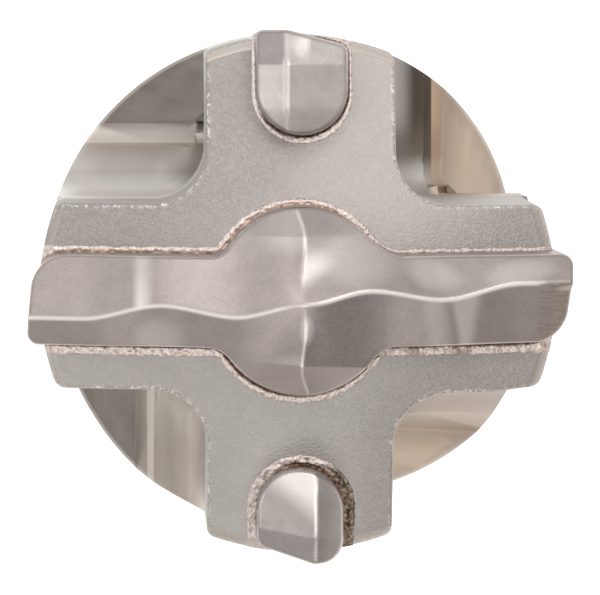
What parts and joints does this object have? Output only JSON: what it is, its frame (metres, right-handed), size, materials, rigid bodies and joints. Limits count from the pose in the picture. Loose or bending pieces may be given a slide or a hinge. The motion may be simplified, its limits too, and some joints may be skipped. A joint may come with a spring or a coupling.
{
  "type": "hammer drill bit",
  "caption": "Masonry drill bit for rotary hammers, with a brazed carbide cross head, a spiral of flutes and a slotted shank.",
  "frame": {"origin": "centre of the striking face at the foot of the shank", "axes": "+Z along the bit to its tip; +X along the right-hand wing of the long carbide plate; +Y towards the upper side pin of the picture"},
  "size_m": [0.0256, 0.0252, 0.32],
  "materials": {
    "steel": "fine blasted on the head, rolled and ground below",
    "carbide": "satin, ground",
    "braze": "grainy, as brazed"
  },
  "bodies": {
    "root": {"bit_body": "steel", "carbide_plate": "carbide", "upper_pin": "carbide", "lower_pin": "carbide", "plate_braze": "braze", "upper_pin_braze": "braze", "lower_pin_braze": "braze"}
  },
  "joints": []
}
